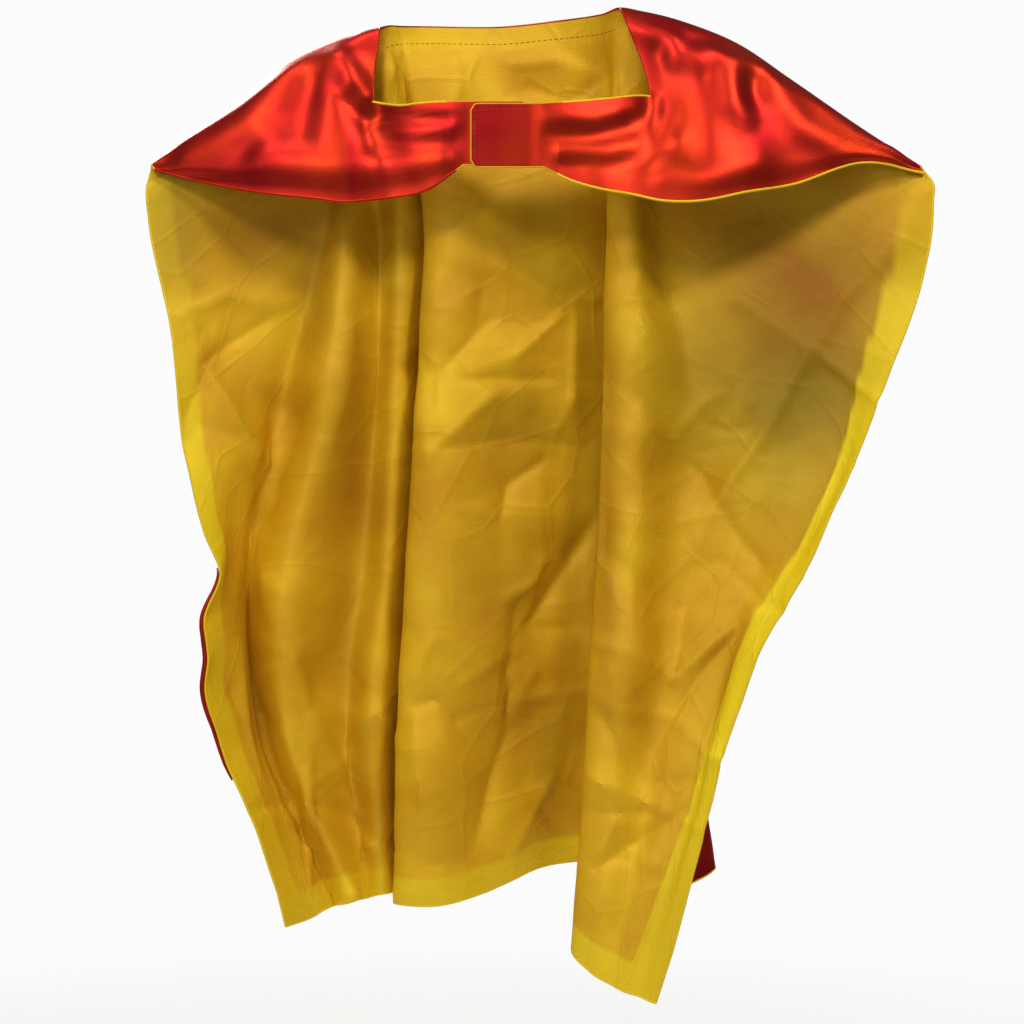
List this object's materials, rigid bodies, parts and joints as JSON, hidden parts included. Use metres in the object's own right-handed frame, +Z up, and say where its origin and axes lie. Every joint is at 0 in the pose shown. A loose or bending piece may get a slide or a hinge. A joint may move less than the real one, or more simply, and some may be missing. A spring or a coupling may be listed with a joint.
{
  "type": "superhero cape",
  "caption": "Two-layer child's cape hung by its shoulders: glossy outer cloth folded forward over both shoulders, plain lining facing forward, and a lapped hook-and-loop neck tab.",
  "frame": {"origin": "middle of the back neckline, where the cape is held up", "axes": "+Z up, -Y the front where the neck tabs close, +X the side the over tab comes from"},
  "size_m": [0.4713, 0.1143, 0.5826],
  "materials": {
    "outer_satin": "glossy red satin",
    "lining": "thin golden-yellow woven lining",
    "turned_hem": "doubled lining cloth, slightly lighter",
    "hook_and_loop": "matt red hook-and-loop tape"
  },
  "bodies": {
    "cape": {"satin_shell": "outer_satin", "lining_panel": "lining", "side_hem_left": "turned_hem", "side_hem_right": "turned_hem", "bottom_hem": "turned_hem", "neck_hem": "turned_hem"},
    "over_tab": {"over_tab_satin": "outer_satin", "over_tab_lining": "lining", "hook_patch": "hook_and_loop"},
    "under_tab": {"under_tab_satin": "outer_satin", "under_tab_lining": "lining", "loop_patch": "hook_and_loop"}
  },
  "joints": [
    {"name": "over_tab_open", "type": "hinge", "parent": "cape", "child": "over_tab", "pos_m": [0.01875, -0.0325, -0.0715], "axis": [0, 0, 1], "range_deg": [0, 120]},
    {"name": "under_tab_open", "type": "hinge", "parent": "cape", "child": "under_tab", "pos_m": [-0.02875, -0.0273, -0.0695], "axis": [0, 0, -1], "range_deg": [0, 24]}
  ],
  "couplings": [
    {"joint": "under_tab_open", "follows": "over_tab_open", "ratio": 0.2}
  ]
}
